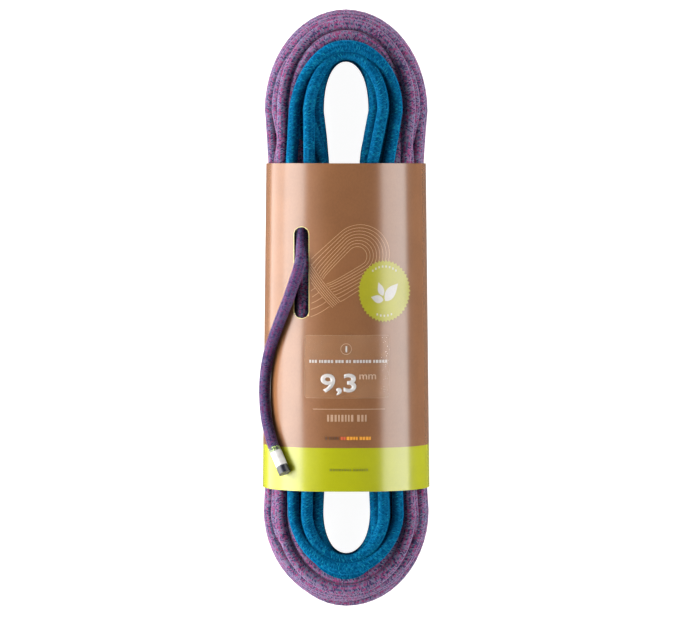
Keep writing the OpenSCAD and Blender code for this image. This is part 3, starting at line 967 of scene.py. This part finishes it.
def card_material():
    """Kraft card, printed lime along its lower edge."""
    g = Graph("kraft_card")
    fibre = card_fibres(g)
    kraft = g.ramp(fibre, [(0.36, srgb(95, 62, 38)), (0.64, srgb(103, 68, 42))])
    lime = g.ramp(fibre, [(0.36, srgb(122, 124, 0)), (0.64, srgb(127, 129, 0))])
    y = g.node("ShaderNodeSeparateXYZ", {0: g.node("ShaderNodeTexCoord").outputs["Object"]}).outputs[1]
    printed = g.math("LESS_THAN", y, LIME_EDGE_Y)
    return coated(g, g.mix(printed, kraft, lime), fibre)


def card_edge_material():
    g = Graph("card_edge")
    fibre = card_fibres(g)
    g.shader.inputs["Roughness"].default_value = 0.85
    return g.set(Base_Color=g.ramp(fibre, [(0.35, srgb(176, 140, 98)), (0.65, srgb(226, 200, 150))]))


def ink_material(name, light, shadow):
    """Ink that the card's fibres show through a little."""
    g = Graph(name)
    fibre = card_fibres(g)
    return coated(g, g.ramp(fibre, [(0.36, shadow), (0.6, light)]), fibre, 0.3)


def film_material():
    """Clear film: hardly visible but for its own gloss and a slight milkiness."""
    g = Graph("clear_film")
    milk = g.noise(60.0, 3.0)
    coated(g, g.ramp(milk, [(0.3, srgb(190, 150, 116)), (0.7, srgb(206, 170, 138))]), milk, 0.2)
    return g.set(Alpha=g.math("MULTIPLY_ADD", milk, 0.06, 0.01))


def marker_material():
    """Lime marking band with small black printed characters."""
    g = Graph("marker_print")
    place = g.coordinates()
    cells = g.node("ShaderNodeTexVoronoi", {"Vector": place, "Scale": 620.0}, distance="CHEBYCHEV")
    black = g.math("GREATER_THAN", g.math("MULTIPLY", cells.outputs[0], g.noise(260.0)), 0.15)
    g.shader.inputs["Roughness"].default_value = 0.35
    return g.set(Base_Color=g.mix(black, srgb(138, 162, 92), srgb(14, 17, 15)))


def mottled_material(name, mottle, stops, roughness, strength, depth):
    """One noise, given by its scale, detail and stretch, for both the colour and the relief."""
    g = Graph(name)
    mottling = g.noise(*mottle)
    g.shader.inputs["Roughness"].default_value = roughness
    return g.set(Base_Color=g.ramp(mottling, stops), Normal=g.bump(mottling, strength, depth))


def wrapping_materials():
    """The wrappings on each end: printed band, white film, dark shrunk tube with faint wrinkles, and
    the cut end, melted dark and glassy."""
    film = [(0.3, srgb(150, 148, 146)), (0.7, srgb(166, 165, 163))]
    cap = [(0.3, srgb(9, 9, 17)), (0.7, srgb(21, 20, 34))]
    core = [(0.35, srgb(24, 22, 34)), (0.65, srgb(74, 66, 84))]
    return {"marker_band": marker_material(),
            "end_label": mottled_material("white_film", (300.0, 4.0), film, 0.4, 0.4, 0.0001),
            "end_cap": mottled_material("shrink_cap", (700.0, 3.0, (1.0, 0.35, 1.0)), cap, 0.32, 0.6,
                                        0.0002),
            "core_end": mottled_material("fused_core", (900.0, 3.0), core, 0.4, 0.8, 0.0004)}


def paint_cad_nodes():
    """Finished materials for the CAD nodes that stay."""
    glue = [(0.3, srgb(206, 188, 140)), (0.7, srgb(228, 214, 172))]
    finishes = {"glue_flap": card_material(),
                "glue_strip": mottled_material("hot_glue", (240.0, 3.0), glue, 0.3, 0.5, 0.0002)}
    wrappings = wrapping_materials()
    for side in ("inner", "outer"):
        finishes.update({f"{side}_{part}": finish for part, finish in wrappings.items()})
    for node, finish in finishes.items():
        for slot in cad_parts[node].material_slots:
            slot.material = finish


# ---------------------------------------------------------------- floor and light
FLOOR_HALF, FLOOR_GLOW = 8.0, 0.95
HORIZON, OVERHEAD = 0.2, 0.05
END_LIGHT_SIZE, END_LIGHT_ASIDE = (0.9, 0.08), 0.25
LIGHTS_AIM_Z = 0.1


def add_floor():
    """A pale floor that glows faintly, like a lit table top."""
    mesh = bpy.data.meshes.new("floor")
    size = FLOOR_HALF
    mesh.from_pydata([(-size, -size, 0), (size, -size, 0), (size, size, 0), (-size, size, 0)], [],
                     [(0, 1, 2, 3)])
    floor = add_object("floor", mesh)
    g = Graph("floor")
    g.shader.inputs["Roughness"].default_value = 0.9
    g.shader.inputs["Emission Color"].default_value = (1.0, 1.0, 1.0, 1.0)
    g.shader.inputs["Emission Strength"].default_value = FLOOR_GLOW
    mesh.materials.append(g.set(Base_Color=(0.25, 0.25, 0.25, 1.0)))
    floor.visible_glossy = floor.visible_shadow = False


def add_softbox(name, side, from_angle, to_angle, distance, length, radiance, lights_matt=True,
                mirrored=True):
    """A long softbox beside the hank that fills the angles, from straight above, between two values.
    It may light matt surfaces only, or show in glossy ones only."""
    middle, spread = math.radians((from_angle + to_angle) / 2), math.radians(to_angle - from_angle)
    data = bpy.data.lights.new(name, "AREA")
    data.shape = "RECTANGLE"
    data.size, data.size_y = 2 * distance * math.tan(spread / 2), length
    data.energy = radiance * math.pi * data.size * data.size_y
    light = bpy.data.objects.new(name, data)
    light.location = (side * distance * math.sin(middle), 0.0,
                      LIGHTS_AIM_Z + distance * math.cos(middle))
    light.rotation_euler = (0.0, side * middle, 0.0)
    light.visible_camera = False
    light.visible_diffuse = lights_matt
    light.visible_glossy = mirrored
    bpy.context.scene.collection.objects.link(light)


def add_end_light(name, side, elevation, distance, radiance):
    """A low strip light beyond one end of the hank, which edges the loops there."""
    angle = math.radians(90 - elevation)
    data = bpy.data.lights.new(name, "AREA")
    data.shape = "RECTANGLE"
    data.size, data.size_y = END_LIGHT_SIZE
    data.energy = radiance * math.pi * data.size * data.size_y
    light = bpy.data.objects.new(name, data)
    light.location = (END_LIGHT_ASIDE * side, side * distance * math.sin(angle),
                      LIGHTS_AIM_Z + distance * math.cos(angle))
    light.rotation_euler = (-side * angle, 0.0, 0.0)
    light.visible_camera = False
    light.visible_glossy = False
    bpy.context.scene.collection.objects.link(light)


def add_world():
    """Bright at the horizon and dim overhead."""
    world = bpy.data.worlds.new("studio")
    world.use_nodes = True
    tree = world.node_tree
    place = tree.nodes.new("ShaderNodeTexCoord")
    split = tree.nodes.new("ShaderNodeSeparateXYZ")
    ramp = tree.nodes.new("ShaderNodeValToRGB")
    tree.links.new(place.outputs["Generated"], split.inputs[0])
    tree.links.new(split.outputs[2], ramp.inputs[0])
    tree.links.new(ramp.outputs[0], tree.nodes["Background"].inputs[0])
    for element, place, grey in zip(ramp.color_ramp.elements, (0.12, 0.75), (HORIZON, OVERHEAD)):
        element.position, element.color = place, (grey, grey, grey, 1.0)
    bpy.context.scene.world = world
    bpy.context.scene.view_settings.view_transform = "Standard"


add_camera()
ropes = add_ropes()
ropes["blue"].data.materials.append(blue_sheath_material())
ropes["purple"].data.materials.append(purple_sheath_material())
add_sleeve()
white_ink = ink_material("white_ink", srgb(148, 145, 143), srgb(141, 138, 135))
faint_ink = ink_material("faint_ink", srgb(142, 116, 94), srgb(132, 104, 82))
line_ink = ink_material("line_ink", srgb(160, 124, 88), srgb(150, 112, 78))
add_size_label(white_ink, faint_ink)
add_card_prints(faint_ink, ink_material("dark_ink", srgb(70, 44, 28), srgb(60, 38, 24)),
                ink_material("red_ink", srgb(160, 66, 40), srgb(148, 58, 34)),
                ink_material("ochre_ink", srgb(184, 124, 30), srgb(172, 114, 26)),
                ink_material("olive_ink", srgb(92, 94, 10), srgb(84, 86, 8)))
add_line_drawing(line_ink)
add_slot_rim(ink_material("rim_ink", srgb(168, 158, 92), srgb(154, 142, 80)))
add_seal(ink_material("seal_lime", srgb(122, 119, 0), srgb(116, 113, 0)), white_ink)
paint_cad_nodes()
add_floor()
add_world()
# Side, angles from straight above, distance, length and radiance
add_softbox("left_gloss", -1, 46, 88, 1.6, 2.6, 9.0, lights_matt=False)
add_softbox("left_low_gloss", -1, 88, 132, 1.6, 2.6, 4.6, lights_matt=False)
add_softbox("left_feather", -1, 22, 46, 1.7, 2.6, 0.7, lights_matt=False)
add_softbox("right_gloss", 1, 35, 84, 1.5, 2.6, 8.0, lights_matt=False)
add_softbox("left_key", -1, 54, 87, 1.6, 2.6, 19.5, mirrored=False)
add_softbox("right_key", 1, 58, 87, 1.5, 2.6, 10.0, mirrored=False)
add_softbox("top_fill", 1, -30, 30, 1.8, 2.6, 0.7, mirrored=False)
add_end_light("top_edge_light", 1, -2.5, 1.3, 45.0)
add_end_light("bottom_edge_light", -1, -2.5, 1.3, 45.0)
